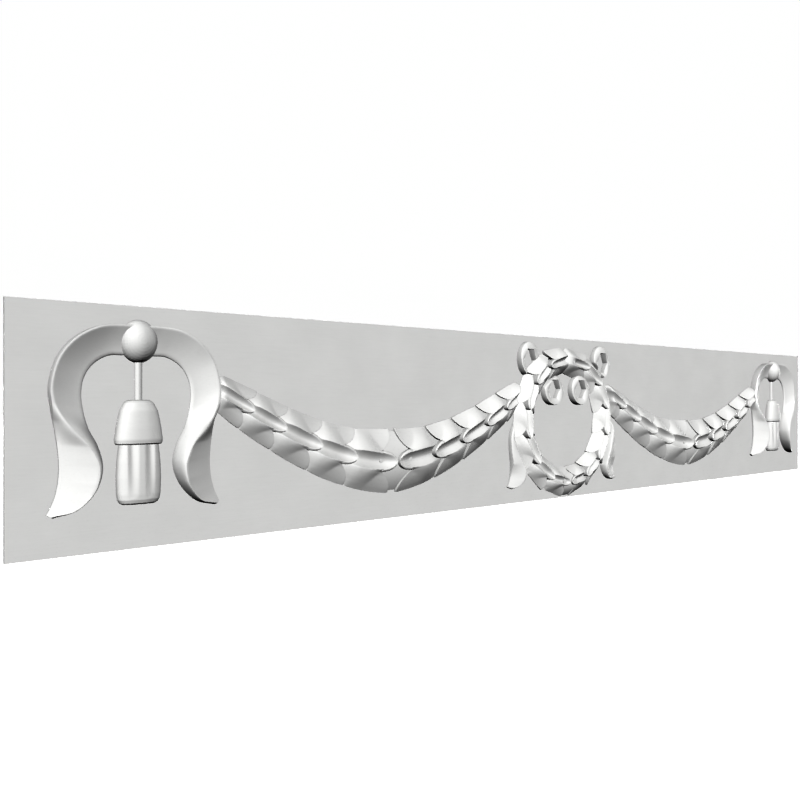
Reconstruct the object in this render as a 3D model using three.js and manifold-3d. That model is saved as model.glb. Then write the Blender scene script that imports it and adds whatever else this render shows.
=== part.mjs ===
// Carved onlay: a long flat panel that carries a leaf wreath with its ribbon bow, two leaf swags and
// two ribbon drapes with tassels. Millimetres, +Z up, +X along the panel, the carving faces -Y.
// The origin is the centre of the panel's flat back.
//
// Every carved surface is worked out in relief terms: a point has a plan position (x, z) on the
// panel's face and a height h proud of it.
import * as THREE from "three";
import { mergeVertices } from "three/addons/utils/BufferGeometryUtils.js";
import Module from "manifold-3d";

// ---- Panel ----
const PANEL_LENGTH = 1200;
const PANEL_HEIGHT = 186.8;
const PANEL_THICKNESS = 3;
const SEAT_GAP = 0.3; // between a carving's flat back and the panel's face
const JOINT_GAP = 0.5; // between two carvings that butt

// ---- Leaf modules, shared by the swags and the wreath ----
const LEAF_EDGE = 1.2; // height of the core's thin edge
const RIB_SHARE = 0.34; // half width of the gouged rib, as a share of the leaf's half width
const NOTCH_BACK = 0.55; // how far the notch lies behind the tip, as a share of the half width
const TIP_POINT = 0.62; // 0.5 is a half ellipse; more draws the tip out to a point
const LOBE_REACH = 0.76; // how far a side lobe comes forward from the notch, of the way to the tip
const BASE_TUCK = 0.3; // how far a leaf's base runs under the one before it
const SWAG_NARROW = 0.3; // how much narrower a leaf is at its base than the one before it at its end
const WREATH_NARROW = 2.4;
const CORE_HEIGHT = 10.2; // round core that shows between two facing leaves
// Columns of a half leaf at its base and at its free end, as shares of the half width:
// bottom of the gouge, its rim, the flank's fold (which ends in the notch), flank, outer edge.
const LEAF_BASE = [0, 0.25, 0.42, 0.7, 1];
const LEAF_FREE = [0, 0.31, 0.342, 0.66, 1];
// Rows from base to free end: share of the way, heights of those columns for a leaf of half width 31.
const SWAG_ROWS = [
  [0, [5.9, 9.6, 8.5, 4.1, 0.8]],
  [0.33, [8.3, 12.5, 11.4, 7.0, 1.4]],
  [0.67, [9.1, 13.1, 12.0, 6.4, 1.5]],
  [1, [13.8, 12.4, 10.7, 7.3, 2.4]],
];
const WREATH_ROWS = [
  [0, [5.4, 8.9, 7.8, 3.9, 0.8]],
  [0.5, [8.7, 12.8, 11.7, 6.7, 1.5]],
  [1, [13.8, 12.4, 10.7, 7.3, 2.4]],
];
const LEAF_MODULE = 31;
const LEAF_SLIMMING = 0.3; // heights go with this power of the half width

// ---- Swags ----
const SWAG_CENTRE = 259.5; // from the panel's middle
const SWAG_LOW = -37.4; // centre line at its lowest point
const SWAG_RISE = 132.4; // the centre line is a hyperbola of this rise
const SWAG_RUN = 161.4; // and this run
const SWAG_HALF_WIDTH = 31.1; // at the lowest point
const SWAG_TAPER = 0.088; // half width lost per millimetre of run
const SWAG_TIPS = [151.9, 121.6, 85.4, 47.3, 1.2]; // run of each leaf's tip from the lowest point
const SWAG_END = 186; // run of the round outer end

// ---- Wreath ----
const WREATH_RADIUS = 72;
const WREATH_LOW = -2.7; // height of its centre over the panel's middle
const WREATH_HALF_WIDTH = 17.6;
const WREATH_TIPS = [29.5, 54, 79.5, 105.3, 131.8, 156, 178.8]; // degrees from the top
const WREATH_LAP = 6; // how far the first leaf on the right laps over the first on the left

// ---- Bow behind the wreath ----
// A curl is a flat ribbon bent into a loop: centre and half axes of its outer and inner outline.
const OUTER_CURL = { x: 64.3, z: 67.3, a: 15.4, b: 19.5, holeX: 65.2, holeZ: 66.5, holeA: 9.2, holeB: 12.8 };
const INNER_CURL = { x: 24, z: 33, a: 16.3, b: 17.5, holeX: 23.6, holeZ: 34, holeA: 9.4, holeB: 11.4 };
const CURL_OUTSIDE = 6.7; // height of a curl's outer edge
const CURL_INSIDE = 6.7; // of its inner edge
const CURL_TILT = 1.5; // how much either edge rises or falls towards the top and bottom of the loop
const CURL_MIDDLE = 7.4; // of the middle of its face
const CURL_STEPS = 14;
// Stations of a bow tail: outer edge x, z; inner edge x, z; share of the ridge; ridge height.
const BOW_TAIL = [
  [73.0, 23.0, 62, 24, 0.1, 4.6],
  [81.0, 8.0, 66, 9, 0.1, 5.0],
  [88.5, -6.0, 70, -6, 0.11, 5.4],
  [93.0, -19.0, 74.5, -18, 0.14, 5.8],
  [93.0, -33.6, 73, -33, 0.34, 6.5],
  [91.6, -47.0, 69.5, -46, 0.64, 7.4],
  [91.4, -58.0, 69.5, -58, 0.82, 7.6],
  [92.8, -66.0, 73, -68.5, 0.86, 6.6],
  [95.8, -73.0, 81, -75.4, 0.86, 4.6],
  [97.4, -74.6, 90, -77.4, 0.6, 3.0],
];

// ---- Drapes ----
const DRAPE_CENTRE = 505.9;
const BALL = { across: 14.0, tall: 16.6, deep: 13.4 };
const BALL_HEIGHT = 66.4;
const CORD_RADIUS = 3;
// Levels of the tassel's cap and skirt: height z, half width, relief.
const CAP = [
  [-12.9, 17.2, 9.2],
  [-12.0, 18.2, 10.6],
  [-9.3, 18.6, 11.2],
  [0, 17.3, 10.9],
  [5.6, 16.3, 10.5],
  [13.1, 14.6, 9.8],
  [18.7, 11.6, 8.2],
  [20.3, 9.8, 6.8],
  [21.2, 6.8, 4.4],
];
const SKIRT = [
  [-58.6, 12.6, 6.2],
  [-57.6, 14.6, 8],
  [-55, 16.2, 9.1],
  [-51, 16.9, 9.5],
  [-39, 17.3, 9.6],
  [-26, 16.8, 9.4],
  [-12, 15.2, 9],
];
const FLUTE_AT = 6.7; // the two flutes of the skirt, from its middle
const FLUTE_HALF = 4.4;
const FLUTE_DEPTH = 1.9;
const RIBBON_EDGE = 1.9;
// Stations of a ribbon half, from the arch's top to the tail's tip, as for the bow tail.
const RIBBON = [
  [0, 78.2, 0, 55.2, 0.06, 7.4],
  [17.7, 78.3, 13.1, 55.3, 0.06, 7.9],
  [32.1, 76.1, 22.0, 54.8, 0.06, 9.0],
  [48.4, 67.1, 32.7, 49.1, 0.06, 9.3],
  [60.1, 52.3, 39.8, 39.6, 0.06, 8.4],
  [65.7, 31.8, 42.5, 27.1, 0.07, 8.2],
  [65.0, 19.6, 41.5, 14.9, 0.1, 8.8],
  [62.2, 3.7, 37.4, 0, 0.36, 12.1],
  [59.8, -11.2, 30.8, -13.1, 0.65, 13.6],
  [58.6, -26.2, 27.5, -28.0, 0.8, 15.4],
  [59.2, -38.3, 30.8, -41.1, 0.86, 14.8],
  [61.3, -48.6, 38.3, -52.3, 0.9, 12.6],
  [64.1, -56.0, 48.6, -60.7, 0.88, 9.0],
  [67.0, -61.7, 62.6, -64.4, 0.6, 3.6],
];

const wasm = await Module();
wasm.setup();

// ---- From relief terms to closed solids ----
const place = (x, z, h) => [x, -(PANEL_THICKNESS + h), z];

function asManifold(positions, triangles) {
  const geometry = new THREE.BufferGeometry();
  geometry.setAttribute("position", new THREE.Float32BufferAttribute(positions.flat(), 3));
  geometry.setIndex(triangles.flat());
  const merged = mergeVertices(geometry, 1e-4);
  const make = (order) =>
    new wasm.Manifold(
      new wasm.Mesh({
        numProp: 3,
        vertProperties: Float32Array.from(merged.attributes.position.array),
        triVerts: order,
      }),
    );
  const index = Uint32Array.from(merged.index.array);
  const solid = make(index);
  if (solid.volume() > 0) return solid;
  for (let i = 0; i < index.length; i += 3) [index[i + 1], index[i + 2]] = [index[i + 2], index[i + 1]];
  return make(index);
}

// A block whose front is the grid of [x, z, h] rows and whose back is flat on the panel.
function blockFrom(grid, back = SEAT_GAP) {
  const rows = grid.length;
  const columns = grid[0].length;
  const positions = [];
  const triangles = [];
  for (const row of grid) for (const [x, z, h] of row) positions.push(place(x, z, Math.max(h, back + 0.4)));
  const at = (i, j) => i * columns + j;
  for (let i = 0; i + 1 < rows; i++)
    for (let j = 0; j + 1 < columns; j++)
      triangles.push([at(i, j), at(i, j + 1), at(i + 1, j + 1)], [at(i, j), at(i + 1, j + 1), at(i + 1, j)]);
  const ring = [];
  for (let j = 0; j < columns; j++) ring.push([0, j]);
  for (let i = 1; i < rows; i++) ring.push([i, columns - 1]);
  for (let j = columns - 2; j >= 0; j--) ring.push([rows - 1, j]);
  for (let i = rows - 2; i > 0; i--) ring.push([i, 0]);
  const first = positions.length;
  const outline = ring.map(([i, j]) => {
    const [x, z] = grid[i][j];
    positions.push(place(x, z, back));
    return new THREE.Vector2(x, z);
  });
  ring.forEach(([i, j], k) => {
    const next = (k + 1) % ring.length;
    const [p, q] = [at(i, j), at(...ring[next])];
    triangles.push([q, p, first + k], [q, first + k, first + next]);
  });
  const clockwise = THREE.ShapeUtils.isClockWise(outline);
  const order = clockwise ? outline.slice().reverse() : outline;
  const name = (k) => first + (clockwise ? outline.length - 1 - k : k);
  for (const [a, b, c] of THREE.ShapeUtils.triangulateShape(order, [])) {
    const triangle = [name(a), name(b), name(c)];
    triangles.push(clockwise ? triangle : triangle.reverse());
  }
  return asManifold(positions, triangles);
}

const join = (solids) => solids.reduce((sum, solid) => sum.add(solid));

// ---- Leaf modules ----
const mix = (a, b, t) => a + (b - a) * t;
const clamp = (t) => Math.min(1, Math.max(0, t));

// How far along a leaf its free end reaches at the offset y: side lobes, notches and the rib's tip.
function leafEnd(y, length, half) {
  const back = NOTCH_BACK * half;
  const rib = RIB_SHARE * half;
  const side = Math.abs(y);
  if (side <= rib) return length - back + back * Math.max(0, 1 - (side / rib) ** 2) ** TIP_POINT;
  const t = clamp((side - rib) / (half - rib));
  const corner = 0.1 * clamp((t - 0.86) / 0.14) ** 2;
  return length - back + back * (LOBE_REACH * Math.sin((Math.PI / 2) * clamp(t / 0.95) ** 0.8) - corner);
}

// Half width of a leaf's outline, at the share u of its length.
const leafOutline = (u, half, baseHalf) => mix(baseHalf, half, clamp(u / 0.9));

// Grid of one leaf. `at(d)` gives the plan point and the unit across-vector at d along the leaf.
function leafGrid(at, length, half, baseHalf, dome, rows, grow = 0) {
  const tuck = (dome ? 0 : -BASE_TUCK * half) - grow;
  const columns = LEAF_BASE.map((share, j) => [share, LEAF_FREE[j], j]);
  const both = [...columns.slice(1).reverse().map(([p, q, j]) => [-p, -q, j]), ...columns];
  const slim = (half / LEAF_MODULE) ** LEAF_SLIMMING;
  return rows.map(([w, heights]) => {
    return both.map(([base, free, column]) => {
      const d = mix(tuck, leafEnd(free * half, length, half) + grow, w);
      const rounded = dome ? Math.sqrt(1 - (1 - clamp(d / dome)) ** 2 * 0.9) : 1;
      const y = mix(base, free, w) * leafOutline(d / length, half, baseHalf);
      const h = heights[column] * slim * (0.4 + 0.6 * rounded) + grow;
      const { x, z, nx, nz } = at(d);
      const off = y * rounded + Math.sign(y) * grow;
      return [x + nx * off, z + nz * off, h];
    });
  });
}

const mirrored = (grid) => grid.map((row) => row.map(([x, z, h]) => [-x, z, h]));

// ---- Swag ----
const swagLine = (x) => SWAG_LOW + SWAG_RISE * (Math.sqrt(1 + (x / SWAG_RUN) ** 2) - 1);

function swagHalf(grow = 0) {
  const steps = 800;
  const runs = [0];
  const arcs = [0];
  for (let i = 1; i <= steps; i++) {
    const x = (i * SWAG_END) / steps;
    runs.push(x);
    arcs.push(arcs[i - 1] + Math.hypot(x - runs[i - 1], swagLine(x) - swagLine(runs[i - 1])));
  }
  const arcOf = (x) => arcs[Math.round((x / SWAG_END) * steps)];
  const runOf = (arc) => {
    let i = arcs.findIndex((a) => a >= arc);
    if (i < 1) i = arc <= 0 ? 1 : steps;
    return mix(runs[i - 1], runs[i], (arc - arcs[i - 1]) / (arcs[i] - arcs[i - 1]));
  };
  const frame = (arc) => {
    const x = runOf(arc);
    const slope = (swagLine(x + 0.5) - swagLine(x - 0.5)) / 1;
    const size = Math.hypot(1, slope);
    return { x, z: swagLine(x), nx: -slope / size, nz: 1 / size };
  };
  const grids = [];
  SWAG_TIPS.forEach((tip, k) => {
    const start = k ? arcOf(SWAG_TIPS[k - 1]) : arcOf(SWAG_END);
    const end = arcOf(tip);
    const half = SWAG_HALF_WIDTH - SWAG_TAPER * tip;
    const before = SWAG_HALF_WIDTH - SWAG_TAPER * (k ? SWAG_TIPS[k - 1] : SWAG_END) - (k ? 0 : 3);
    grids.push(leafGrid((d) => frame(start - d), start - end, half, before - SWAG_NARROW, k ? 0 : 5, SWAG_ROWS, grow));
  });
  return grids;
}

// The round core between two facing leaves. `at(d)` as for a leaf; it is shorter at its edges.
function coreBlock(at, half, long, short) {
  const grid = [];
  for (let i = 0; i <= 2; i++) {
    const row = [];
    for (let j = 0; j <= 8; j++) {
      const share = mix(-1, 1, j / 8);
      const { x, z, nx, nz } = at(mix(-1, 1, i / 2) * mix(long, short, Math.abs(share)));
      const off = share * half;
      row.push([x + nx * off, z + nz * off, LEAF_EDGE + (CORE_HEIGHT - LEAF_EDGE) * (1 - Math.abs(share) ** 2.2)]);
    }
    grid.push(row);
  }
  return blockFrom(grid);
}

const swagCore = () => coreBlock((x) => ({ x, z: swagLine(x), nx: 0, nz: 1 }), SWAG_HALF_WIDTH - 2.6, 20, 9);

function swag() {
  const grids = swagHalf();
  return join([swagCore(), ...grids.map((g) => blockFrom(g)), ...grids.map((g) => blockFrom(mirrored(g)))]);
}

// ---- Wreath and bow ----
function wreathSide(lap, grow = 0) {
  const frame = (arc) => {
    const angle = arc / WREATH_RADIUS;
    return {
      x: WREATH_RADIUS * Math.sin(angle),
      z: WREATH_LOW + WREATH_RADIUS * Math.cos(angle),
      nx: Math.sin(angle),
      nz: Math.cos(angle),
    };
  };
  const arcs = [-lap, ...WREATH_TIPS.map((a) => THREE.MathUtils.degToRad(a) * WREATH_RADIUS)];
  return WREATH_TIPS.map((_, k) =>
    leafGrid((d) => frame(arcs[k] + d), arcs[k + 1] - arcs[k], WREATH_HALF_WIDTH, WREATH_HALF_WIDTH - WREATH_NARROW, k ? 0 : lap ? 9 : 1, WREATH_ROWS, grow),
  );
}

const wreathCore = () => {
  const at = (d) => {
    const angle = Math.PI + d / WREATH_RADIUS;
    return {
      x: WREATH_RADIUS * Math.sin(angle),
      z: WREATH_LOW + WREATH_RADIUS * Math.cos(angle),
      nx: Math.sin(angle),
      nz: Math.cos(angle),
    };
  };
  return coreBlock(at, WREATH_HALF_WIDTH - 1.8, 12, 4.5);
};

function curl(spec, grow = 0, back = SEAT_GAP) {
  const positions = [];
  const triangles = [];
  const count = 5;
  for (let i = 0; i < CURL_STEPS; i++) {
    const t = (2 * Math.PI * i) / CURL_STEPS;
    const [c, s] = [Math.cos(t), Math.sin(t)];
    const outer = [spec.x + (spec.a + grow) * c, spec.z + (spec.b + grow) * s];
    const inner = [spec.holeX + (spec.holeA - grow) * c, spec.holeZ + (spec.holeB - grow) * s];
    const middle = [mix(outer[0], inner[0], 0.5), mix(outer[1], inner[1], 0.5)];
    positions.push(
      place(...inner, back),
      place(...inner, CURL_INSIDE + CURL_TILT * s + grow),
      place(...middle, CURL_MIDDLE + grow),
      place(...outer, CURL_OUTSIDE - CURL_TILT * s + grow),
      place(...outer, back),
    );
    const next = (i + 1) % CURL_STEPS;
    for (let j = 0; j < count; j++) {
      const k = (j + 1) % count;
      const [p, q, r, o] = [i * count + j, i * count + k, next * count + k, next * count + j];
      triangles.push([p, q, r], [p, r, o]);
    }
  }
  return asManifold(positions, triangles);
}

const otherSide = (spec) => ({ ...spec, x: -spec.x, holeX: -spec.holeX });

// Grid of a folded ribbon: a ridge that wanders from the outer edge to the inner one.
function ribbonGrid(stations, edge, fine, grow = 0) {
  const curve = (a, b) =>
    new THREE.CatmullRomCurve3(
      stations.map((s) => new THREE.Vector3(s[a], s[b], 0)),
      false,
      "centripetal",
    );
  const outer = curve(0, 1);
  const inner = curve(2, 3);
  const ridge = curve(4, 5);
  const steps = Math.round((stations.length - 1) * fine);
  const rows = [];
  for (let i = 0; i <= steps; i++) {
    const t = i / steps;
    const o = outer.getPoint(t);
    const n = inner.getPoint(t);
    const r = ridge.getPoint(t);
    const share = clamp(r.x);
    const top = r.y;
    const size = Math.hypot(n.x - o.x, n.y - o.y);
    const [ux, uz] = [(o.x - n.x) / size, (o.y - n.y) / size];
    const row = [];
    const wall = 0.97 * clamp((0.3 - share) / 0.2); // a steep wall where the ridge keeps to the edge
    const across = [
      [0, wall],
      [0.5 * share, mix(wall, 1, 0.5)],
      [share, 1],
      [mix(share, 1, 0.25), 0.64],
      [mix(share, 1, 0.55), 0.3],
      [1, 0],
    ];
    across.forEach(([w, level], j) => {
      const push = j === 0 ? grow : j === across.length - 1 ? -grow : 0;
      row.push([mix(o.x, n.x, w) + ux * push, mix(o.y, n.y, w) + uz * push, mix(edge, top, level) + grow]);
    });
    rows.push(row);
  }
  return rows;
}

function bowTail(grow = 0) {
  return ribbonGrid(BOW_TAIL, RIBBON_EDGE, 1, grow);
}

function wreath() {
  const tail = bowTail();
  const pieces = [wreathCore()];
  for (const grid of [...wreathSide(WREATH_LAP), tail]) pieces.push(blockFrom(grid));
  for (const grid of [...wreathSide(0), tail]) pieces.push(blockFrom(mirrored(grid)));
  for (const spec of [OUTER_CURL, INNER_CURL]) pieces.push(curl(spec), curl(otherSide(spec)));
  return join(pieces);
}

// The room a swag leaves for the wreath and its bow.
function wreathRoom() {
  const tail = bowTail(JOINT_GAP);
  const pieces = [];
  for (const grid of [...wreathSide(0, JOINT_GAP), tail]) pieces.push(blockFrom(grid, -1), blockFrom(mirrored(grid), -1));
  for (const spec of [OUTER_CURL, INNER_CURL])
    pieces.push(curl(spec, JOINT_GAP, -1), curl(otherSide(spec), JOINT_GAP, -1));
  return join(pieces);
}

// ---- Drape ----
// Front grid of a body whose levels [z, half width, relief] have a rounded, flattish section.
function roundedBody(levels, columns, fluted = false) {
  const grid = [];
  for (const [z, half, deep] of levels) {
    const row = [];
    for (let j = 0; j <= columns; j++) {
      const angle = (Math.PI * j) / columns;
      const c = Math.cos(angle);
      const x = -half * Math.sign(c) * Math.abs(c) ** 0.8;
      let h = SEAT_GAP + deep * Math.sin(angle) ** 0.75;
      const flute = Math.max(0, 1 - ((Math.abs(x) - FLUTE_AT) / FLUTE_HALF) ** 2);
      if (fluted) h -= FLUTE_DEPTH * flute * clamp((z - SKIRT[0][0]) / 12);
      row.push([x, z, h]);
    }
    grid.push(row);
  }
  return grid;
}

const tassel = () => join([blockFrom(roundedBody(CAP, 10)), blockFrom(roundedBody(SKIRT, 16, true))]);

// Half an egg with its pole away from the panel.
function ball() {
  const profile = [new THREE.Vector2(0, 0)];
  for (let i = 0; i <= 6; i++) {
    const a = (i / 6) * (Math.PI / 2);
    profile.push(new THREE.Vector2(i === 6 ? 0 : Math.cos(a), Math.sin(a)));
  }
  const geometry = new THREE.LatheGeometry(profile, 20);
  geometry.deleteAttribute("normal");
  geometry.deleteAttribute("uv");
  geometry.scale(BALL.across, -BALL.deep, BALL.tall);
  geometry.translate(0, -(PANEL_THICKNESS + SEAT_GAP), BALL_HEIGHT);
  const merged = mergeVertices(geometry, 1e-4);
  const positions = [];
  const p = merged.attributes.position;
  for (let i = 0; i < p.count; i++) positions.push([p.getX(i), p.getY(i), p.getZ(i)]);
  const triangles = [];
  for (let i = 0; i < merged.index.count; i += 3) {
    const t = [merged.index.getX(i), merged.index.getX(i + 1), merged.index.getX(i + 2)];
    if (new Set(t).size === 3) triangles.push(t);
  }
  return asManifold(positions, triangles);
}

function cord() {
  const grid = [];
  for (const z of [CAP.at(-2)[0], BALL_HEIGHT - BALL.tall * 0.8]) {
    const row = [];
    for (let j = 0; j <= 6; j++) {
      const angle = (Math.PI * j) / 6;
      row.push([-CORD_RADIUS * Math.cos(angle), z, SEAT_GAP + CORD_RADIUS * Math.sin(angle)]);
    }
    grid.push(row);
  }
  return blockFrom(grid);
}

function ribbonWhole(grow = 0, back = SEAT_GAP) {
  const half = ribbonGrid(RIBBON, RIBBON_EDGE, 1.4, grow);
  const whole = [...mirrored(half).reverse().slice(0, -1), ...half];
  return blockFrom(whole, back);
}

function drape() {
  return join([ribbonWhole(), ball(), cord(), tassel()]);
}

// ---- The scene ----
const white = (name) => new THREE.MeshStandardMaterial({ name, color: 0xe9e8e4, roughness: 0.55, metalness: 0 });
const carvingFinish = white("carving");
const panelFinish = new THREE.MeshStandardMaterial({ name: "panel", color: 0xe9e8e4, roughness: 0.6, metalness: 0 });

function meshFrom(name, solid, material) {
  const { vertProperties, triVerts, numProp } = solid.getMesh();
  const positions = new Float32Array((vertProperties.length / numProp) * 3);
  for (let i = 0; i < positions.length / 3; i++) positions.set(vertProperties.subarray(i * numProp, i * numProp + 3), i * 3);
  const geometry = new THREE.BufferGeometry();
  geometry.setAttribute("position", new THREE.BufferAttribute(positions, 3));
  geometry.setIndex(new THREE.BufferAttribute(triVerts, 1));
  geometry.computeVertexNormals();
  const mesh = new THREE.Mesh(geometry, material);
  mesh.name = name;
  return mesh;
}

const onlay = new THREE.Group();

const panel = new THREE.Mesh(new THREE.BoxGeometry(PANEL_LENGTH, PANEL_THICKNESS, PANEL_HEIGHT), panelFinish);
panel.name = "backing_panel";
panel.position.set(0, -PANEL_THICKNESS / 2, 0);
onlay.add(panel);

const wreathSolid = wreath();
onlay.add(meshFrom("wreath", wreathSolid, carvingFinish));

const room = wreathRoom();
for (const side of [-1, 1]) {
  const word = side < 0 ? "left" : "right";
  const drapeAt = drape().translate([side * DRAPE_CENTRE, 0, 0]);
  onlay.add(meshFrom(`${word}_drape`, drapeAt, carvingFinish));
  const drapeRoom = ribbonWhole(JOINT_GAP, -1).translate([side * DRAPE_CENTRE, 0, 0]);
  const swagAt = swag()
    .translate([side * SWAG_CENTRE, 0, 0])
    .subtract(room)
    .subtract(wreathSolid.translate([side * JOINT_GAP, 0, 0]))
    .subtract(wreathSolid)
    .subtract(drapeRoom);
  const bodies = swagAt.decompose().sort((p, q) => q.volume() - p.volume());
  onlay.add(meshFrom(`${word}_swag`, bodies[0], carvingFinish));
}

export default onlay;
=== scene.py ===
import math

import bpy
import numpy as np
from mathutils import Matrix, Vector


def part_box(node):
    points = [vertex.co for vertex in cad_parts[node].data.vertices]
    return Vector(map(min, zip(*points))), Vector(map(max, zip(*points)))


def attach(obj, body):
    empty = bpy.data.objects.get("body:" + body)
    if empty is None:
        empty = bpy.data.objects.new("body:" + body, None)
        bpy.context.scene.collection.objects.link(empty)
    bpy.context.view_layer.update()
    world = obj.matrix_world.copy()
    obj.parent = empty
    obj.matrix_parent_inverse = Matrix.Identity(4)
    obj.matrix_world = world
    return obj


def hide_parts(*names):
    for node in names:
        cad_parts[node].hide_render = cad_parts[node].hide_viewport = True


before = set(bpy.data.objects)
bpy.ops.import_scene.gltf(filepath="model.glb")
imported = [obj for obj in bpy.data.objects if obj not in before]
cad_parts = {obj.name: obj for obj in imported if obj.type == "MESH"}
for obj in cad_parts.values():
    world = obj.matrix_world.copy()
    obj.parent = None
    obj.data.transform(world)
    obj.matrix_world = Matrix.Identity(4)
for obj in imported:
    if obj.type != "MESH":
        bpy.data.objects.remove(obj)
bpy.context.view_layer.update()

# Carved onlay: leaf wreath with a ribbon bow, two leaf swags, two ribbon drapes with tassels, on a flat
# panel. The shapes are worked out in millimetres, as plan positions (x, z) on the panel's face and a
# height h proud of it, and written as metres: X = x, Y = -(3 + h), Z = z.

PANEL_THICKNESS = 3.0
BACK = 0.03  # height of a carving's flat back over the panel's face

# ---- Leaf modules ----
# A leaf's relief at eleven stations u = 0, 0.1 ... 1 along it, from the tip before it to its own tip, and
# at shares s of its half width. Heights are for a half width of 31 mm.
RIB_SHARE = 0.34  # half width of the gouged rib
NOTCH_BACK = 0.55  # how far the notches lie behind the tip, as a share of the half width
LOBE_REACH = 0.8  # how far the side lobes come forward from the notches, of the way to the tip
TIP_POINT = 0.62
TIP_FALL = 0.7  # from the rim to the edge of the tip
GOUGE_HALF = [0.23, 0.25, 0.26, 0.262, 0.262, 0.258, 0.25, 0.235, 0.205, 0.15, 0.04]
GOUGE_DEPTH = 4.8  # where the gouge is widest
START = [12.5, 12.4, 11.6, 10.4, 8.95, 7.25, 5.3, 3.05, 0.7]  # heights at u = 0, for s = 0.2, 0.3 ... 1
SLOPE = [  # rise along the leaf at the same shares, without the fold
    [0.28, 0.36, 0.34, 0.28, 0.23, 0.17, 0.11, 0.06, 0.03],
    [0.12, 0.12, 0.12, 0.11, 0.10, 0.08, 0.06, 0.04, 0.03],
    [0.06, 0.04, 0.03, 0.03, 0.02, 0.02, 0.01, 0.01, 0.01],
    [0.045, 0.01, 0.0, -0.01, -0.02, -0.03, -0.03, -0.02, -0.01],
    [0.045, -0.01, -0.02, -0.03, -0.03, -0.03, -0.02, -0.01, 0.0],
    [0.045, -0.02, -0.04, -0.03, -0.01, 0.01, 0.01, 0.02, 0.03],
    [0.045, -0.01, -0.01, 0.01, 0.02, 0.03, 0.045, 0.05, 0.05],
    [0.045, 0.02, 0.01, 0.03, 0.045, 0.06, 0.07, 0.08, 0.07],
    [0.045, 0.04, 0.045, 0.065, 0.075, 0.09, 0.10, 0.11, 0.09],
    [0.045, 0.045, 0.065, 0.085, 0.10, 0.11, 0.12, 0.13, 0.11],
    [0.045, 0.05, 0.085, 0.105, 0.12, 0.13, 0.14, 0.15, 0.12],
]
FOLD_SHARES = [0.30, 0.45, 0.55, 0.65, 0.75, 0.85, 1.0]  # a fold crosses each flank from the notch
FOLD_AT = [0.66, 0.56, 0.50, 0.455, 0.415, 0.385, 0.37]
FOLD_STEEP = [0.30, 0.30, 0.25, 0.20, 0.14, 0.07, 0.0]
FOLD_RUN = 0.34
SWAG_STEP = 0.9  # how far a leaf's base lies below the end of the one before it, over what the slopes give
WREATH_STEP = 1.4
SLOPE_LENGTH = 39.0  # length of the leaf that these slopes are for
BASE_STEEP = 0.5  # rise of the base where it comes out from under the one before it
BASE_TUCK = 0.6  # how far a leaf's base runs under the one before it
SWAG_NARROW = 0.3  # how much narrower a leaf is at its base than the one before it at its end
WREATH_NARROW = 2.9
LEAF_ROWS = 40
LEAF_EDGE = 1.2
CORE_HEIGHT = 10.2
EDGE_ROUND = 0.25  # radius of a leaf's free edge

# ---- Swags ----
SWAG_CENTRE = 259.5
SWAG_LOW = -37.4
SWAG_RISE = 132.4
SWAG_RUN = 161.4
SWAG_HALF_WIDTH = 31.1
SWAG_TAPER = 0.088
SWAG_TIPS = [151.9, 121.6, 85.4, 47.3, 1.2]
SWAG_END = 186.0

# ---- Wreath and bow ----
WREATH_RADIUS = 72.0
WREATH_LOW = -2.7
WREATH_HALF_WIDTH = 17.6
WREATH_LAP = 6.0  # how far the first leaf on the right laps over the first on the left
WREATH_TIPS = [29.5, 54, 79.5, 105.3, 131.8, 156, 178.8]
OUTER_CURL = dict(x=64.3, z=67.3, a=15.4, b=19.5, hx=65.2, hz=66.5, ha=9.4, hb=13.0)
INNER_CURL = dict(x=24.0, z=33.0, a=16.3, b=17.5, hx=23.6, hz=34.0, ha=9.6, hb=11.6)
CURL_OUTSIDE = 6.7
CURL_INSIDE = 6.7
CURL_TILT = 1.5
CURL_MIDDLE = 7.4
CURL_CORNERS = 6
BOW_TAIL = [
    [73.0, 23.0, 62, 24, 0.1, 4.6],
    [81.0, 8.0, 66, 9, 0.1, 5.0],
    [88.5, -6.0, 70, -6, 0.11, 5.4],
    [93.0, -19.0, 74.5, -18, 0.14, 5.8],
    [93.0, -33.6, 73, -33, 0.34, 6.5],
    [91.6, -47.0, 69.5, -46, 0.62, 8.2],
    [91.4, -58.0, 69.5, -58, 0.8, 9.0],
    [92.8, -66.0, 73, -68.5, 0.86, 7.8],
    [95.8, -73.0, 81, -75.4, 0.86, 5.2],
    [97.4, -74.6, 90, -77.4, 0.6, 3.0],
]

# ---- Drapes ----
DRAPE_CENTRE = 505.9
BALL = (14.6, 13.4, 16.7)  # half width, depth, half height
BALL_HEIGHT = 66.4
CORD_RADIUS = 3.0
CAP = [
    [-12.9, 17.2, 9.2],
    [-12.0, 18.2, 10.6],
    [-9.3, 18.6, 11.2],
    [0, 17.3, 10.9],
    [5.6, 16.3, 10.5],
    [13.1, 14.6, 9.8],
    [18.7, 11.6, 8.2],
    [20.3, 9.8, 6.8],
    [21.0, 8.0, 5.4],
    [21.2, 6.6, 4.2],
]
SKIRT = [
    [-58.6, 12.6, 6.2],
    [-57.6, 14.6, 8],
    [-55, 16.2, 9.1],
    [-51, 16.9, 9.5],
    [-39, 17.3, 9.6],
    [-26, 16.8, 9.4],
    [-12, 15.2, 9],
]
FLUTE_AT = 6.7
FLUTE_HALF = 4.4
FLUTE_DEPTH = 1.9
RIBBON_EDGE = 1.9
EDGE_TURN = 1.5  # how far the inner edge rolls down below that
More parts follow.
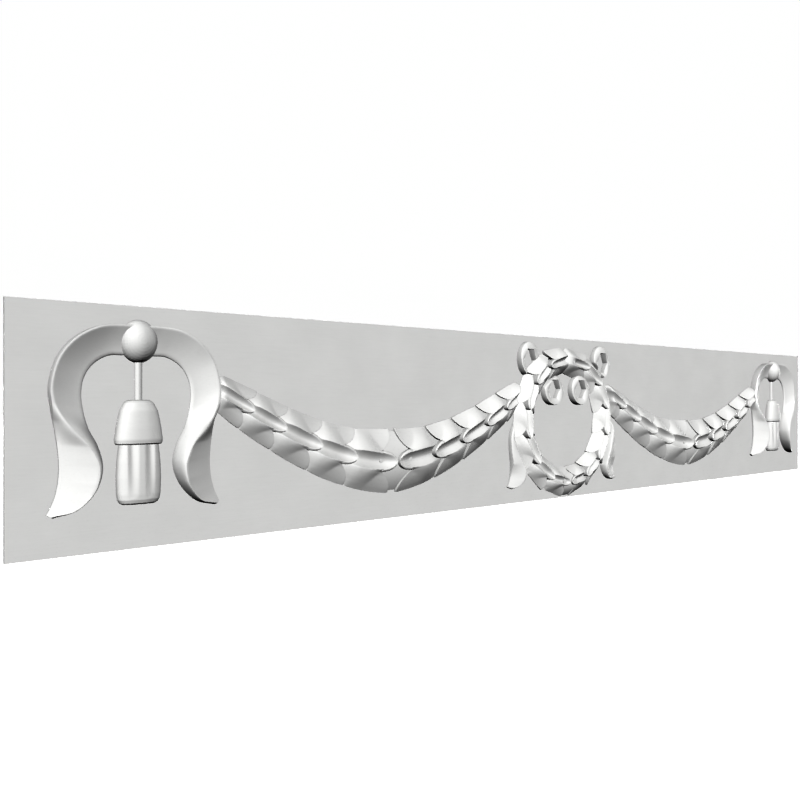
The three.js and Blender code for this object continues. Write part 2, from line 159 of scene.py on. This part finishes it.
RIBBON = [
    [0, 78.2, 0, 55.2, 0.06, 7.4],
    [17.7, 78.3, 13.1, 55.3, 0.06, 7.9],
    [32.1, 76.1, 22.0, 54.8, 0.06, 9.0],
    [48.4, 67.1, 32.7, 49.1, 0.06, 9.3],
    [60.1, 52.3, 39.8, 39.6, 0.06, 8.4],
    [65.7, 31.8, 42.5, 27.1, 0.07, 8.2],
    [65.0, 19.6, 41.5, 14.9, 0.1, 8.8],
    [62.2, 3.7, 37.4, 0, 0.36, 12.1],
    [59.8, -11.2, 30.8, -13.1, 0.65, 13.6],
    [58.6, -26.2, 27.5, -28.0, 0.8, 15.15],
    [59.2, -38.3, 30.8, -41.1, 0.86, 14.8],
    [61.3, -48.6, 38.3, -52.3, 0.9, 12.6],
    [64.1, -56.0, 48.6, -60.7, 0.88, 9.0],
    [67.0, -61.7, 62.6, -64.4, 0.6, 3.6],
]


# ---- Grids of (x, z, h) turned into closed shells ----
def mix(a, b, t):
    return a + (b - a) * t


def clamp(t):
    return np.clip(t, 0.0, 1.0)


class Carving:
    """Closed shells gathered into one mesh."""

    def __init__(self):
        self.points = []
        self.faces = []
        self.count = 0

    def _add(self, xzh, faces):
        xzh = np.asarray(xzh, float).reshape(-1, 3)
        self.points.append(np.stack([xzh[:, 0], -(PANEL_THICKNESS + xzh[:, 2]), xzh[:, 1]], 1) / 1000.0)
        self.faces += [tuple(self.count + k for k in f) for f in faces]
        self.count += len(xzh)

    def block(self, grid, back=BACK):
        """A shell whose front is the grid and whose back is flat."""
        grid = np.array(grid, float)
        grid[..., 2] = np.maximum(grid[..., 2], back + 0.25)
        rows, columns = grid.shape[:2]
        # twice the plan area of the grid, which tells which way round its faces go
        x, z = grid[..., 0], grid[..., 1]
        turn = ((x[:-1, :-1] - x[1:, 1:]) * (z[:-1, 1:] - z[1:, :-1]) - (z[:-1, :-1] - z[1:, 1:]) * (x[:-1, 1:] - x[1:, :-1])).sum()
        ring = [(0, j) for j in range(columns)] + [(i, columns - 1) for i in range(1, rows)]
        ring += [(rows - 1, j) for j in range(columns - 2, -1, -1)] + [(i, 0) for i in range(rows - 2, 0, -1)]
        first = rows * columns
        foot = np.array([[grid[i, j, 0], grid[i, j, 1], back] for i, j in ring])
        i, j = np.meshgrid(np.arange(rows - 1), np.arange(columns - 1), indexing="ij")
        p = (i * columns + j).ravel()
        quads = np.stack([p, p + columns, p + columns + 1, p + 1], 1)
        n = len(ring)
        walls = []
        for k, (a, b) in enumerate(ring):
            c, d = ring[(k + 1) % n]
            walls.append((a * columns + b, c * columns + d, first + (k + 1) % n, first + k))
        faces = [tuple(q) for q in quads.tolist()] + walls + [tuple(first + k for k in range(n))]
        if turn > 0:
            faces = [f[::-1] for f in faces]
        self._add(np.concatenate([grid.reshape(-1, 3), foot]), faces)

    def tube(self, sections):
        """A closed ring of closed sections: sections[i][j] is (x, z, h)."""
        s = np.array(sections, float)
        n, m = s.shape[:2]
        faces = []
        for i in range(n):
            for j in range(m):
                a, b = i, (i + 1) % n
                c, d = j, (j + 1) % m
                faces.append((a * m + c, a * m + d, b * m + d, b * m + c))
        # the signed volume tells whether the faces point outwards
        q = np.stack([s[..., 0], -s[..., 2], s[..., 1]], -1).reshape(-1, 3)
        f = np.array(faces)
        volume = np.einsum("ij,ij->i", q[f[:, 0]], np.cross(q[f[:, 1]], q[f[:, 2]])).sum()
        volume += np.einsum("ij,ij->i", q[f[:, 0]], np.cross(q[f[:, 2]], q[f[:, 3]])).sum()
        if volume < 0:
            faces = [g[::-1] for g in faces]
        self._add(s, faces)

    def object(self, name, move=0.0, flat_from=10**9):
        mesh = bpy.data.meshes.new(name)
        points = np.concatenate(self.points)
        points[:, 0] += move / 1000.0
        mesh.from_pydata(points.tolist(), [], self.faces)
        mesh.validate()
        mesh.polygons.foreach_set("use_smooth", [True] * len(mesh.polygons))
        mesh.set_sharp_from_angle(angle=math.radians(38))
        mesh.polygons.foreach_set("use_smooth", [i < flat_from for i in range(len(mesh.polygons))])
        piece = bpy.data.objects.new(name, mesh)
        bpy.context.scene.collection.objects.link(piece)
        return piece


# ---- Leaves ----
def leaf_end(y, length, half):
    back = NOTCH_BACK * half
    rib = RIB_SHARE * half
    side = np.abs(y)
    tip = length - back + back * np.maximum(0, 1 - (side / rib) ** 2) ** TIP_POINT
    t = (side - rib) / (half - rib)
    corner = 0.02 * clamp((t - 0.9) / 0.1) ** 2
    lobe = length - back + back * (LOBE_REACH * np.sin(math.pi / 2 * clamp(t / 0.95) ** 0.8) - corner)
    return np.where(side <= rib, tip, lobe)


def leaf_outline(u, half, base_half):
    return mix(base_half, half, clamp(u / 0.9) ** (1.0 if half == WREATH_HALF_WIDTH else 0.65))


_slope = np.array(SLOPE)
_rise = np.concatenate([np.zeros((1, 9)), np.cumsum((_slope[1:] + _slope[:-1]) / 2 * 0.1, axis=0)]) * SLOPE_LENGTH
FLANK = np.array(START) + _rise


def weights(f):
    return (
        -0.5 * f + f**2 - 0.5 * f**3,
        1 - 2.5 * f**2 + 1.5 * f**3,
        0.5 * f + 2 * f**2 - 1.5 * f**3,
        -0.5 * f**2 + 0.5 * f**3,
    )


def flank_height(u, s):
    """The table of relief, drawn as a smooth surface."""
    t = np.pad(FLANK, 1, mode="reflect", reflect_type="odd")
    x, y = clamp(u) * 10, np.clip((s - 0.2) * 10, 0, 8)
    i, j = np.minimum(x.astype(int), 9), np.minimum(y.astype(int), 7)
    wu, ws = weights(x - i), weights(y - j)
    return sum(wu[a] * ws[b] * t[i + a, j + b] for a in range(4) for b in range(4))


def along(values, u):
    t = np.pad(np.array(values, float), 1, mode="reflect", reflect_type="odd")
    x = clamp(u) * 10
    i = np.minimum(x.astype(int), 9)
    return sum(w * t[i + a] for a, w in enumerate(weights(x - i)))


def fold_depth(u, s):
    ramp = clamp((u - np.interp(s, FOLD_SHARES, FOLD_AT)) / FOLD_RUN + 1)
    return np.interp(s, FOLD_SHARES, FOLD_STEEP) * 0.5 * ramp**2 * FOLD_RUN * SLOPE_LENGTH * clamp((s - 0.25) / 0.08)


def leaf_height(d, y, length, half, base_half, blunt=0.0):
    u = d / length
    side = np.abs(y)
    outline = leaf_outline(u, half, base_half)
    share = side / outline
    rib = RIB_SHARE * half
    notch = 1 - NOTCH_BACK * half / length
    past = clamp((u - notch) / (1 - notch))
    rib_now = rib * np.maximum(0.0005, 1 - past ** (1 / TIP_POINT)) ** 0.5
    gouge = np.minimum(along(GOUGE_HALF, u) * half, 0.9 * rib_now)
    rim = flank_height(u, gouge / outline)
    deep = GOUGE_DEPTH * (gouge / (max(GOUGE_HALF) * half)) ** 1.7 * (clamp((d - 1.0 * blunt) / (1.2 * blunt)) ** 1.5 if blunt else 1)
    in_gouge = rim - deep * (1 - np.minimum(side / gouge, 1) ** 1.7)
    t = clamp((side - gouge) / (rib_now - gouge))
    corner = flank_height(np.full_like(u, notch), np.full_like(u, RIB_SHARE)) - fold_depth(notch, RIB_SHARE)
    on_tip = rim - mix(rim - corner, TIP_FALL, np.sqrt(past)) * t**2
    h = np.where(side < gouge, in_gouge, np.where((past > 0) & (side <= rib_now + 1e-6), on_tip, flank_height(u, share) - fold_depth(u, share)))
    h = h + np.clip(u, -0.3, 0) * SLOPE_LENGTH * BASE_STEEP
    h = h - (WREATH_STEP if half == WREATH_HALF_WIDTH else SWAG_STEP) * clamp(1 - u / 0.4) ** 2 * clamp((1 - share) / 0.25)
    if blunt:
        h = h + 1.6 * clamp(1 - d / (2 * blunt))
    return np.maximum(h * (half / 31.0) ** 0.3, 0.2)


def leaf_grid(at, length, half, base_half, dome, blunt=0.0):
    """Grid of one leaf: rows run from its base to its free end, columns across it."""
    tuck = 0.0 if dome else -BASE_TUCK * half
    phi = np.linspace(0, math.pi / 2, 23)
    free = np.concatenate([0.3399 * np.sin(phi), np.linspace(0.3399, 1, 21)[1:]])
    base = np.concatenate([np.interp(np.linspace(0, 1, 23), [0, 0.6, 1], [0, 0.25, 0.34]), np.linspace(0.34, 1, 21)[1:]])
    base = np.concatenate([-base[:0:-1], base])
    free = np.concatenate([-free[:0:-1], free])
    rows = []
    end = leaf_end(free * half, length, half)
    r = EDGE_ROUND
    steps = [(w, 0.0) for w in np.linspace(0, 1, LEAF_ROWS) ** 0.9]
    steps += [(1.0, math.radians(a)) for a in (30, 60, 90)]
    for w, bend in steps:
        reach = end - r + r * math.sin(bend)
        d = mix(tuck, reach, w)
        u = d / length
        rounded = np.sqrt(1 - (1 - clamp(d / dome)) ** 2 * 0.9) if dome else np.ones_like(d)
        outline = leaf_outline(u, half, base_half)
        y = mix(base, free, w) * outline
        swell = np.sqrt(1 - (1 - clamp(d / 11)) ** 2 * 0.9) if blunt else rounded
        h = leaf_height(d, y, length, half, base_half, blunt) * (0.4 + 0.6 * swell) - r * (1 - math.cos(bend))
        x, z, nx, nz = at(d)
        off = y * rounded
        rows.append(np.stack([x + nx * off, z + nz * off, h], -1))
    return np.array(rows)


def lowered(grid, distance, reach, low=0.0):
    """A grid that dips where the distance outside a covering outline runs out."""
    out = np.array(grid)
    away = distance(out[..., 0], out[..., 1])
    share = mix(low, 1, np.sin(math.pi / 2 * clamp(away / reach))) * clamp(away / 1.5 + 1 if low else 1)
    out[..., 2] = np.maximum(0.2, out[..., 2] * share)
    return out


def outside_wreath(x, z):
    """Distance from the wreath's band, less what may run under it."""
    return np.abs(np.hypot(x, z - WREATH_LOW) - WREATH_RADIUS) - WREATH_HALF_WIDTH + 2.0


def outside_ribbon(x, z):
    """Distance outside the outer edge of a drape's ribbon, for points beside it."""
    edge = smooth_curve([row[0:2] for row in RIBBON], np.linspace(0, 1, 200))
    gap = np.hypot(np.abs(x)[..., None] - edge[:, 0], z[..., None] - edge[:, 1])
    near = np.argmin(gap, axis=-1)
    return np.where(np.abs(x) > edge[near, 0], 1, -1) * np.min(gap, axis=-1)


def mirrored(grid):
    out = np.array(grid)
    out[..., 0] *= -1
    return out


# ---- Swag ----
def swag_line(x):
    return SWAG_LOW + SWAG_RISE * (np.sqrt(1 + (x / SWAG_RUN) ** 2) - 1)


_runs = np.linspace(-30, SWAG_END + 12, 4001)
_arcs = np.concatenate([[0], np.cumsum(np.hypot(np.diff(_runs), np.diff(swag_line(_runs))))])
_arcs -= np.interp(0, _runs, _arcs)


def swag_leaves():
    def frame_at(arc):
        x = np.interp(arc, _arcs, _runs)
        slope = (swag_line(x + 0.5) - swag_line(x - 0.5)) / 1.0
        size = np.hypot(1, slope)
        return x, swag_line(x), -slope / size, 1 / size

    grids = []
    for k, tip in enumerate(SWAG_TIPS):
        before = SWAG_TIPS[k - 1] if k else SWAG_END
        start = np.interp(before, _runs, _arcs)
        end = np.interp(tip, _runs, _arcs)
        half = SWAG_HALF_WIDTH - SWAG_TAPER * tip
        base = SWAG_HALF_WIDTH - SWAG_TAPER * before - SWAG_NARROW
        grids.append(leaf_grid(lambda d, s=start: frame_at(s - d), start - end, half, base - (0 if k else 3.0), 0 if k else 5))
    return grids


def core_grid(at, half, long, short):
    rows = []
    share = np.linspace(-1, 1, 41)
    for w in np.linspace(-1, 1, 25):
        x, z, nx, nz = at(w * mix(long, short, np.abs(share)))
        off = share * half
        rows.append(np.stack([x + nx * off, z + nz * off, LEAF_EDGE + (CORE_HEIGHT - LEAF_EDGE) * (1 - np.abs(share) ** 2.2)], -1))
    return np.array(rows)


# ---- Wreath ----
def wreath_at(arc):
    angle = arc / WREATH_RADIUS
    return (
        WREATH_RADIUS * np.sin(angle),
        WREATH_LOW + WREATH_RADIUS * np.cos(angle),
        np.sin(angle),
        np.cos(angle),
    )


def wreath_chord(start, run, d):
    """Each leaf of the ring is straight and spans a chord of the circle."""
    (x0, z0, _, _), (x1, z1, _, _), (_, _, nx, nz) = wreath_at(start), wreath_at(start + run), wreath_at(start + run / 2)
    u = d / run
    return mix(x0, x1, u), mix(z0, z1, u), nx, nz


def wreath_leaves(lap):
    arcs = [-lap] + [math.radians(a) * WREATH_RADIUS for a in WREATH_TIPS]
    return [
        leaf_grid(
            lambda d, s=arcs[k], run=arcs[k + 1] - arcs[k]: wreath_chord(s, run, d),
            arcs[k + 1] - arcs[k],
            WREATH_HALF_WIDTH,
            WREATH_HALF_WIDTH - WREATH_NARROW,
            0 if k else (6.5 if lap else 5),
            0 if k or not lap else 9,
        )
        for k in range(len(WREATH_TIPS))
    ]


def curl_sections(spec, side):
    sections = []
    for i in range(120):
        t = 2 * math.pi * i / 120
        c, s = math.cos(t), math.sin(t)
        ox, oz = spec["x"] + spec["a"] * c, spec["z"] + spec["b"] * s
        part = math.pi / CURL_CORNERS
        corner = mix(1.0, 1.03 * math.cos(part) / math.cos(t % (2 * part) - part), 1.15)
        ix, iz = spec["hx"] + spec["ha"] * c * corner, spec["hz"] + spec["hb"] * s * corner
        hi, ho, hm = CURL_INSIDE + CURL_TILT * s, CURL_OUTSIDE - CURL_TILT * s, CURL_MIDDLE
        row = [(0.0, BACK), (0.0, hi - 0.5), (0.03, hi)]
        for w in (0.15, 0.3, 0.4, 0.5, 0.6, 0.7, 0.85):
            flat = mix(hi, ho, w)
            row.append((w, flat + (hm - (hi + ho) / 2) * (1 - (2 * w - 1) ** 2)))
        row += [(0.97, ho), (1.0, ho - 0.5), (1.0, BACK)]
        place = [(mix(ix, ox, w), mix(iz, oz, w), h) for w, h in row]
        clear = [clamp((outside_wreath(x, z) + (4.0 if side > 0 else 0.0)) / 2.0) for x, z, h in place]
        sections.append([(side * x, z, max(BACK, h * math.sin(math.pi / 2 * c))) for (x, z, h), c in zip(place, clear)])
    return sections


# ---- Folded ribbons ----
def smooth_curve(points, t):
    """A centripetal Catmull-Rom curve through the points, at the shares t of its stations."""
    p = np.array(points, float)
    p = np.concatenate([[2 * p[0] - p[1]], p, [2 * p[-1] - p[-2]]])
    n = len(p) - 3
    out = []
    for v in np.asarray(t, float) * n:
        i = min(int(v), n - 1)
        w = v - i
        p0, p1, p2, p3 = p[i : i + 4]
        d0, d1, d2 = [max(np.hypot(*(b - a)) ** 0.5, 1e-4) for a, b in ((p0, p1), (p1, p2), (p2, p3))]
        m1 = (p1 - p0) / d0 - (p2 - p0) / (d0 + d1) + (p2 - p1) / d1
        m2 = (p2 - p1) / d1 - (p3 - p1) / (d1 + d2) + (p3 - p2) / d2
        m1, m2 = m1 * d1, m2 * d1
        out.append(
            p1 + m1 * w + (-3 * p1 + 3 * p2 - 2 * m1 - m2) * w * w + (2 * p1 - 2 * p2 + m1 + m2) * w**3
        )
    return np.array(out)


def ribbon_grid(stations, edge, rows, wall_top=0.97, wall_until=0.3):
    s = np.array(stations, float)
    t = np.linspace(0, 1, rows)
    outer = smooth_curve(s[:, 0:2], t)
    inner = smooth_curve(s[:, 2:4], t)
    ridge = smooth_curve(s[:, 4:6], t)
    grid = []
    for o, n, (share, top) in zip(outer, inner, ridge):
        share = min(max(share, 0.02), 0.97)
        wall = wall_top * min(max((wall_until - share) / 0.2, 0), 1)
        fall = min(0.4, 3.4 / np.hypot(o[0] - n[0], o[1] - n[1]))
        full = min(max((share - 0.08) / 0.3, 0), 1)
        across, level = [0.0, 0.003], [wall - 0.02, wall + 0.01]
        round_side = mix(2.2, 1.0, min(max((share - 0.3) / 0.35, 0), 1))
        for w in np.linspace(0, 1, 13)[1:]:
            across.append(max(share * w, 0.006))
            level.append(mix(wall, 1, 1 - (1 - w) ** round_side))
        plain = np.linspace(0, 1 - fall, 17)[1:]
        edge_turn = 1 - fall * (1 - np.sin(np.radians([12, 24, 36, 48, 60, 70, 80, 90])))
        for w in np.concatenate([plain, edge_turn]):
            turn = min(max((w - 1 + fall) / fall, 0), 1)
            across.append(mix(share, 1, w))
            level.append(mix((1 - w) ** 1.53, 1 - w**2.2, full) - (1 - math.sqrt(max(1 - turn**2, 0))) * EDGE_TURN / (top - edge))
        across, level = np.array(across), np.array(level)
        grid.append(np.stack([mix(o[0], n[0], across), mix(o[1], n[1], across), edge + (top - edge) * level], -1))
    return np.array(grid)


# ---- Tassel ----
def rounded_body(levels, columns, rows, fluted=False):
    lv = np.array(levels, float)
    z = np.concatenate([np.linspace(a, b, rows, endpoint=False) for a, b in zip(lv[:-1, 0], lv[1:, 0])] + [[lv[-1, 0]]])
    half = np.interp(z, lv[:, 0], lv[:, 1])
    deep = np.interp(z, lv[:, 0], lv[:, 2])
    angle = np.linspace(0, math.pi, columns + 1)
    c = np.cos(angle)
    grid = []
    for zz, hh, dd in zip(z, half, deep):
        x = -hh * np.sign(c) * np.abs(c) ** 0.8
        h = BACK + dd * np.maximum(np.sin(angle), 0) ** 0.75
        if fluted:
            flute = np.cos(math.pi / 2 * clamp(np.abs(np.abs(x) - FLUTE_AT) / FLUTE_HALF)) ** 1.5
            h = h - FLUTE_DEPTH * flute * clamp((zz - levels[0][0] - 5) / (levels[-1][0] - levels[0][0] - 5)) ** 0.6
        grid.append(np.stack([x, np.full_like(x, zz), h], -1))
    return np.array(grid)


def ball_sections():
    across, deep, tall = BALL
    rows = []
    for b in np.linspace(0, math.pi / 2, 10):
        ring = np.linspace(0, 2 * math.pi, 41)[:-1]
        rows.append([(across * math.cos(b) * math.cos(a), BALL_HEIGHT + tall * math.cos(b) * math.sin(a), BACK + deep * math.sin(b)) for a in ring])
    return rows


# ---- Pieces ----
wreath = Carving()
tail = lowered(ribbon_grid(BOW_TAIL, RIBBON_EDGE, 90, 0.64, 0.86), outside_wreath, 3.0)
wreath.block(core_grid(lambda d: wreath_at(math.pi * WREATH_RADIUS + d), WREATH_HALF_WIDTH - 1.8, 12, 4.5))
for grid in wreath_leaves(WREATH_LAP) + [tail]:
    wreath.block(grid)
for grid in wreath_leaves(0) + [tail]:
    wreath.block(mirrored(grid))
for spec in (OUTER_CURL, INNER_CURL):
    wreath.tube(curl_sections(spec, 1))
    wreath.tube(curl_sections(spec, -1))
wreath_piece = wreath.object("wreath_carving")
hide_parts("wreath")
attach(wreath_piece, "root")

carvings = [wreath_piece]
for side, word in ((-1, "left"), (1, "right")):
    swag = Carving()
    swag.block(core_grid(lambda x: (x, swag_line(x), 0 * x, 0 * x + 1), SWAG_HALF_WIDTH - 2.6, 20, 9))
    for k, grid in enumerate(swag_leaves()):
        for piece in (grid, mirrored(grid)):
            if k < 2:
                move = np.sign(piece[0, 0, 0])
                piece = lowered(piece, lambda x, z: outside_ribbon(x - (DRAPE_CENTRE - SWAG_CENTRE), z), 5.0, 0.62) if move > 0 else piece
                piece = lowered(piece, lambda x, z: outside_wreath(x + SWAG_CENTRE, z), 4.0) if move < 0 else piece
            swag.block(piece if side > 0 else mirrored(piece)[:, ::-1])
    piece = swag.object(word + "_swag_carving", side * SWAG_CENTRE)
    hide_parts(word + "_swag")
    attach(piece, "root")
    carvings.append(piece)

    drape = Carving()
    half = ribbon_grid(RIBBON, RIBBON_EDGE, 160)
    drape.block(np.concatenate([mirrored(half)[::-1][:-1], half]))
    drape.block(rounded_body(CAP, 60, 6))
    drape.block(rounded_body(SKIRT, 80, 8, True))
    angle = np.linspace(0, math.pi, 25)
    drape.block(
        [
            [(-CORD_RADIUS * math.cos(a), z, BACK + CORD_RADIUS * math.sin(a)) for a in angle]
            for z in np.linspace(CAP[-2][0], BALL_HEIGHT - 13, 12)
        ]
    )
    rings = np.array(ball_sections())
    smooth = len(drape.faces)
    # a fan closes the ball at its front and a flat face closes it on the panel
    n, m = rings.shape[:2]
    faces = [(i * m + j, i * m + (j + 1) % m, (i + 1) * m + (j + 1) % m, (i + 1) * m + j) for i in range(n - 2) for j in range(m)]
    pole = (n - 1) * m
    faces += [((n - 2) * m + j, (n - 2) * m + (j + 1) % m, pole) for j in range(m)]
    faces.append(tuple(range(m))[::-1])
    drape._add(rings.reshape(-1, 3)[: pole + 1], faces)
    piece = drape.object(word + "_drape_carving", side * DRAPE_CENTRE, smooth)
    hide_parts(word + "_drape")
    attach(piece, "root")
    carvings.append(piece)


# ---- Material: white painted wood ----
def painted_wood(name, grain_axis, carved):
    material = bpy.data.materials.new(name)
    material.use_nodes = True
    tree = material.node_tree
    tree.nodes.clear()
    new = tree.nodes.new
    link = tree.links.new
    out = new("ShaderNodeOutputMaterial")
    shader = new("ShaderNodeBsdfPrincipled")
    link(shader.outputs["BSDF"], out.inputs["Surface"])
    shader.inputs["Specular IOR Level"].default_value = 0.12
    shader.inputs["IOR"].default_value = 1.45
    place = new("ShaderNodeTexCoord")
    stretch = new("ShaderNodeMapping")
    stretch.inputs["Scale"].default_value = grain_axis
    link(place.outputs["Object"], stretch.inputs["Vector"])
    grain = new("ShaderNodeTexNoise")
    grain.inputs["Scale"].default_value = 900
    grain.inputs["Detail"].default_value = 5
    grain.inputs["Roughness"].default_value = 0.6
    link(stretch.outputs["Vector"], grain.inputs["Vector"])
    cloud = new("ShaderNodeTexNoise")
    cloud.inputs["Scale"].default_value = 22
    cloud.inputs["Detail"].default_value = 3
    link(place.outputs["Object"], cloud.inputs["Vector"])
    orange = new("ShaderNodeTexNoise")
    orange.inputs["Scale"].default_value = 1500
    orange.inputs["Detail"].default_value = 2
    link(place.outputs["Object"], orange.inputs["Vector"])
    tone = new("ShaderNodeValToRGB")
    tone.color_ramp.elements[0].position = 0.3
    tone.color_ramp.elements[0].color = (0.805, 0.805, 0.8, 1)
    tone.color_ramp.elements[1].position = 0.7
    tone.color_ramp.elements[1].color = (0.835, 0.835, 0.83, 1)
    blend = new("ShaderNodeMath")
    blend.operation = "MULTIPLY_ADD"
    blend.inputs[1].default_value = 0.4
    link(grain.outputs["Fac"], blend.inputs[0])
    soft = new("ShaderNodeMath")
    soft.operation = "MULTIPLY"
    soft.inputs[1].default_value = 0.6
    link(cloud.outputs["Fac"], soft.inputs[0])
    link(soft.outputs["Value"], blend.inputs[2])
    link(blend.outputs["Value"], tone.inputs["Fac"])
    link(tone.outputs["Color"], shader.inputs["Base Color"])
    gloss = new("ShaderNodeMapRange")
    gloss.inputs["From Min"].default_value = 0.3
    gloss.inputs["From Max"].default_value = 0.7
    gloss.inputs["To Min"].default_value = 0.56
    gloss.inputs["To Max"].default_value = 0.66
    link(blend.outputs["Value"], gloss.inputs["Value"])
    link(gloss.outputs["Result"], shader.inputs["Roughness"])
    rise = new("ShaderNodeMath")
    rise.operation = "MULTIPLY_ADD"
    rise.inputs[1].default_value = 0.35
    link(orange.outputs["Fac"], rise.inputs[0])
    link(grain.outputs["Fac"], rise.inputs[2])
    bump = new("ShaderNodeBump")
    bump.inputs["Strength"].default_value = 0.06 if carved else 0.05
    bump.inputs["Distance"].default_value = 0.0003
    link(rise.outputs["Value"], bump.inputs["Height"])
    link(bump.outputs["Normal"], shader.inputs["Normal"])
    return material


carving_paint = painted_wood("carving_paint", (0.22, 1, 1), True)
panel_paint = painted_wood("panel_paint", (0.06, 1, 1), False)
for piece in carvings:
    piece.data.materials.append(carving_paint)
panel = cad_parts["backing_panel"]
panel.data.materials.clear()
panel.data.materials.append(panel_paint)

# ---- Floor ----
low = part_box("backing_panel")[0].z
floor_mesh = bpy.data.meshes.new("floor")
r = 6.0
floor_mesh.from_pydata([(-r, -r, low - 0.0005), (r, -r, low - 0.0005), (r, r, low - 0.0005), (-r, r, low - 0.0005)], [], [(0, 1, 2, 3)])
floor = bpy.data.objects.new("floor", floor_mesh)
bpy.context.scene.collection.objects.link(floor)
floor_paint = bpy.data.materials.new("floor_paint")
floor_paint.use_nodes = True
shader = floor_paint.node_tree.nodes["Principled BSDF"]
shader.inputs["Base Color"].default_value = (0.9, 0.9, 0.9, 1)
shader.inputs["Roughness"].default_value = 0.9
shader.inputs["Specular IOR Level"].default_value = 0.0
shader.inputs["Emission Color"].default_value = (1, 1, 1, 1)
shader.inputs["Emission Strength"].default_value = 1.0
floor_mesh.materials.append(floor_paint)
floor.visible_diffuse = False
floor.visible_glossy = False


# ---- Light ----
def sun(name, x, h, z, strength):
    """A soft distant light that shines from the plan direction (x, h, z); strength is what a white face square to it shows."""
    light = bpy.data.lights.new(name, "SUN")
    light.energy = strength * math.pi
    light.angle = math.radians(8)
    light.use_shadow = False
    light.cycles.max_bounces = 0
    lamp = bpy.data.objects.new(name, light)
    bpy.context.scene.collection.objects.link(lamp)
    toward = Vector((x, -h, z)).normalized()
    lamp.rotation_euler = toward.to_track_quat("Z", "Y").to_euler()
    lamp.location = toward * 3
    return lamp


ALBEDO = 0.82
sun("key", -0.573, 0.81, 0.41, 1.036 / ALBEDO)
sun("side_fill", 0.44, -0.07, 0.0, 0.43 / ALBEDO)
sun("back_fill", 0.0, -1.0, 0.0, 0.75)

world = bpy.data.worlds.new("studio")
bpy.context.scene.world = world
world.use_nodes = True
tree = world.node_tree
tree.nodes.clear()
out = tree.nodes.new("ShaderNodeOutputWorld")
pick = tree.nodes.new("ShaderNodeMixShader")
path = tree.nodes.new("ShaderNodeLightPath")
dim = tree.nodes.new("ShaderNodeBackground")
dim.inputs["Color"].default_value = (1, 1, 1, 1)
dim.inputs["Strength"].default_value = 0.02
bright = tree.nodes.new("ShaderNodeBackground")
bright.inputs["Color"].default_value = (1, 1, 1, 1)
bright.inputs["Strength"].default_value = 1.0
tree.links.new(path.outputs["Is Camera Ray"], pick.inputs["Fac"])
tree.links.new(dim.outputs["Background"], pick.inputs[1])
tree.links.new(bright.outputs["Background"], pick.inputs[2])
tree.links.new(pick.outputs["Shader"], out.inputs["Surface"])

# ---- Camera ----
camera_data = bpy.data.cameras.new("camera")
camera_data.lens = 35.0
camera_data.sensor_width = 36.0
camera_data.sensor_fit = "HORIZONTAL"
camera_data.clip_start = 0.01
camera_data.clip_end = 50
camera = bpy.data.objects.new("camera", camera_data)
bpy.context.scene.collection.objects.link(camera)
camera.location = (-0.7234, -0.5985, 0.02115)
forward = Vector((0.62495, 0.78066, 0.0)).normalized()
camera.rotation_euler = (-forward).to_track_quat("Z", "Y").to_euler()
bpy.context.scene.camera = camera

# ---- Picture tones ----
scene = bpy.context.scene
scene.view_settings.view_transform = "Standard"
scene.view_settings.look = "None"
scene.view_settings.gamma = 1 / 2.2

bpy.context.view_layer.update()
